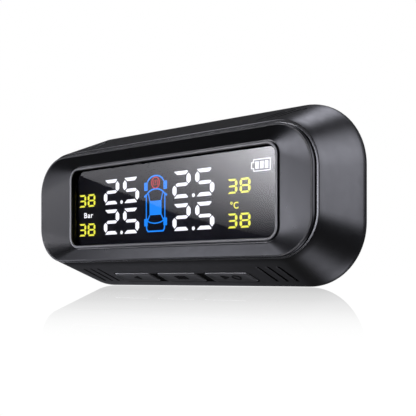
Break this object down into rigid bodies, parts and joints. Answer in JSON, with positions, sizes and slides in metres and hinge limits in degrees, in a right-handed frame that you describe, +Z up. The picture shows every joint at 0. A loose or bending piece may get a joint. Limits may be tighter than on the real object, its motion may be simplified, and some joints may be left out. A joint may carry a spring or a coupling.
{
  "type": "tire pressure monitor",
  "caption": "Windscreen-mounted tyre pressure display with dished bezel, recessed lit screen, underside push buttons, slots, rear solar panel and clear gel mounting film.",
  "frame": {"origin": "centre of the adhesive film's sticky face, which is the plane of the windscreen", "axes": "+X to the right seen from the front, +Y backwards out of the film towards the windscreen, +Z up; the display faces -Y"},
  "size_m": [0.106, 0.024, 0.0462],
  "materials": {
    "shell": "fine-textured black moulded plastic with a soft satin sheen",
    "bezel": "smooth satin black moulded plastic",
    "button": null,
    "seal": "matte black rubber",
    "lens": "polished dark-tinted window",
    "lcd": "negative liquid crystal glass, near black with lit segments",
    "light_plate": "white diffusing acrylic",
    "white_plastic": "white moulded plastic",
    "board": "green solder mask over glass fibre",
    "chip": "black epoxy",
    "steel": "plated steel",
    "copper": "enamelled copper wire",
    "battery": "aluminium laminate pouch",
    "foam": "closed-cell foam",
    "solar": "dark blue silicon cells with silver grid lines under clear resin",
    "film": "clear soft gel film",
    "red_wire": "red wire insulation",
    "black_wire": "black wire insulation"
  },
  "bodies": {
    "case": {"housing": "shell", "rear_cover": "shell", "front_bezel": "bezel", "front_seal": "seal", "window_lens": "lens", "lcd_panel": "lcd", "backlight_plate": "light_plate", "display_frame": "white_plastic", "main_board": "board", "mcu_chip": "chip", "receiver_module": "steel", "display_connector": "white_plastic", "buzzer": "chip", "battery_pad": "foam", "battery_cell": "battery", "battery_lead_red": "red_wire", "battery_lead_black": "black_wire", "antenna_coil": "copper", "usb_socket": "steel", "panel_gasket": "foam", "solar_panel": "solar", "adhesive_film": "film", "switch_board": "board", "board_screw_1": "steel", "rear_screw_1": "steel", "board_screw_2": "steel", "rear_screw_2": "steel", "board_screw_3": "steel", "rear_screw_3": "steel", "board_screw_4": "steel", "rear_screw_4": "steel", "switch_left": "chip", "switch_mode": "chip", "switch_right": "chip"},
    "left_button": {"button_left": "button", "plunger_left": "white_plastic"},
    "mode_button": {"button_mode": "button", "plunger_mode": "white_plastic"},
    "right_button": {"button_right": "button", "plunger_right": "white_plastic"}
  },
  "joints": [
    {"name": "press_left", "type": "slide", "parent": "case", "child": "left_button", "axis": [0, 0.3781, 0.9258], "range_m": [0, 0.0006], "stiffness_N_per_m": 2000, "springref_m": -0.0002},
    {"name": "press_mode", "type": "slide", "parent": "case", "child": "mode_button", "axis": [0, 0.3781, 0.9258], "range_m": [0, 0.0006], "stiffness_N_per_m": 2000, "springref_m": -0.0002},
    {"name": "press_right", "type": "slide", "parent": "case", "child": "right_button", "axis": [0, 0.3781, 0.9258], "range_m": [0, 0.0006], "stiffness_N_per_m": 2000, "springref_m": -0.0002}
  ]
}
